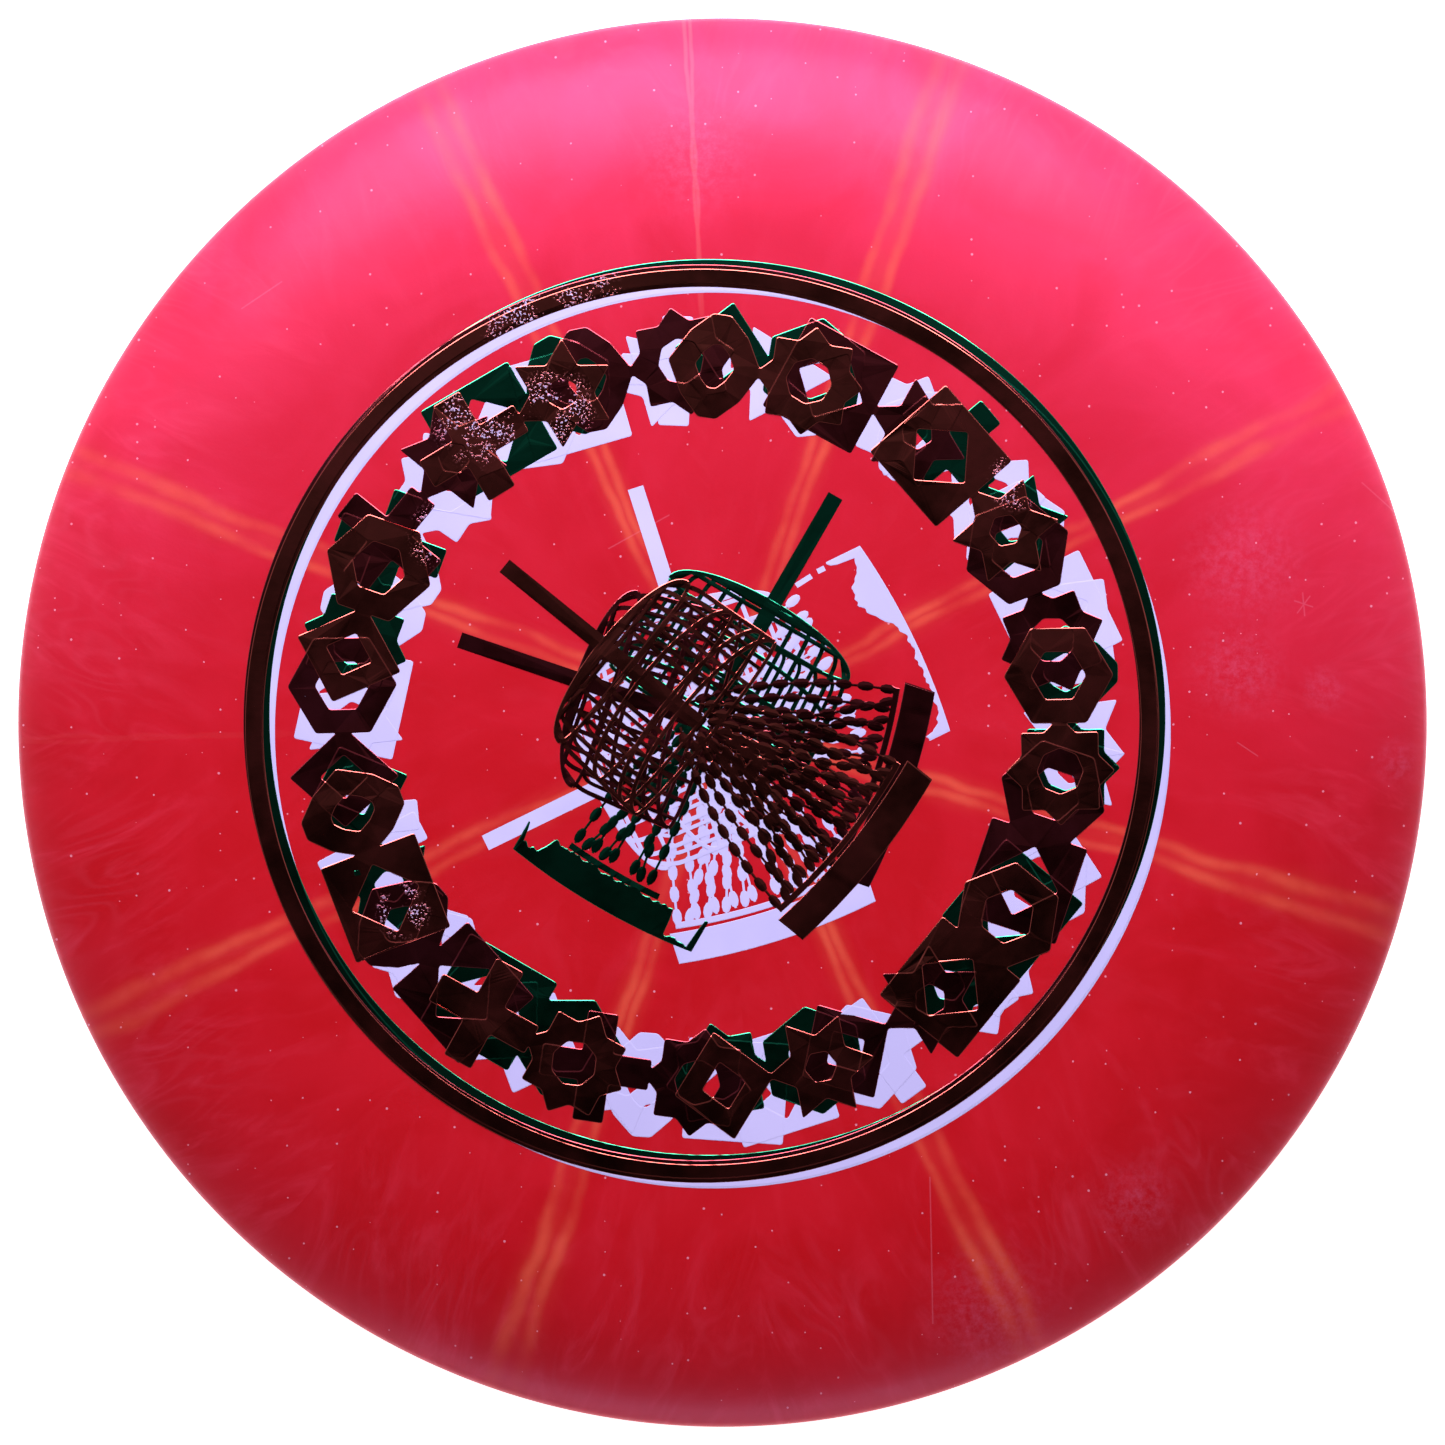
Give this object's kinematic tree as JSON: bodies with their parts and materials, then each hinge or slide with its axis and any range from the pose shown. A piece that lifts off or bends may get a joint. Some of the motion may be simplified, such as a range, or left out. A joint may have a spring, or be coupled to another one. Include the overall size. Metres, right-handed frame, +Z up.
{
  "type": "golf disc",
  "caption": "Round flying disc with a blunt nose, a hollow behind its rim and a flat plate with overlapping stamped foil: rings, plain marks and target pictures.",
  "frame": {"origin": "middle of the surface that the rim stands on", "axes": "+Z up along the disc's own axis; +Y is the top of the stamp as it was pictured, +X is to its right"},
  "size_m": [0.212, 0.212, 0.0193],
  "materials": {
    "disc_plastic": "satin marbled red and pink with paler orange rays",
    "white_foil": "flat pigment foil, white with a lavender cast",
    "green_foil": "metallised foil, mirror bright green",
    "copper_foil": "metallised foil, mirror bright copper"
  },
  "bodies": {
    "root": {"copper_foil_1_border": "copper_foil", "copper_foil_1_marks_1": "copper_foil", "copper_foil_1_marks_2": "copper_foil", "copper_foil_1_marks_3": "copper_foil", "copper_foil_1_marks_4": "copper_foil", "copper_foil_1_marks_5": "copper_foil", "copper_foil_1_marks_6": "copper_foil", "copper_foil_1_marks_7": "copper_foil", "copper_foil_1_marks_8": "copper_foil", "copper_foil_1_marks_9": "copper_foil", "copper_foil_1_target": "copper_foil", "copper_foil_2_border": "copper_foil", "copper_foil_2_marks_1": "copper_foil", "copper_foil_2_marks_2": "copper_foil", "copper_foil_2_marks_3": "copper_foil", "copper_foil_2_marks_4": "copper_foil", "copper_foil_2_marks_5": "copper_foil", "copper_foil_2_marks_6": "copper_foil", "copper_foil_2_marks_7": "copper_foil", "copper_foil_2_marks_8": "copper_foil", "copper_foil_2_marks_9": "copper_foil", "copper_foil_2_target": "copper_foil", "disc_body": "disc_plastic", "green_foil_border": "green_foil", "green_foil_marks_1": "green_foil", "green_foil_marks_2": "green_foil", "green_foil_marks_3": "green_foil", "green_foil_marks_4": "green_foil", "green_foil_marks_5": "green_foil", "green_foil_marks_6": "green_foil", "green_foil_marks_7": "green_foil", "green_foil_marks_8": "green_foil", "green_foil_marks_9": "green_foil", "green_foil_target": "green_foil", "white_foil_1_border": "white_foil", "white_foil_1_marks_1": "white_foil", "white_foil_1_marks_2": "white_foil", "white_foil_1_marks_3": "white_foil", "white_foil_1_marks_4": "white_foil", "white_foil_1_marks_5": "white_foil", "white_foil_1_marks_6": "white_foil", "white_foil_1_marks_7": "white_foil", "white_foil_1_marks_8": "white_foil", "white_foil_1_marks_9": "white_foil", "white_foil_1_target": "white_foil", "white_foil_2_border": "white_foil", "white_foil_2_marks_1": "white_foil", "white_foil_2_marks_2": "white_foil", "white_foil_2_marks_3": "white_foil", "white_foil_2_marks_4": "white_foil", "white_foil_2_marks_5": "white_foil", "white_foil_2_marks_6": "white_foil", "white_foil_2_marks_7": "white_foil", "white_foil_2_marks_8": "white_foil", "white_foil_2_marks_9": "white_foil", "white_foil_2_target": "white_foil"}
  },
  "joints": []
}
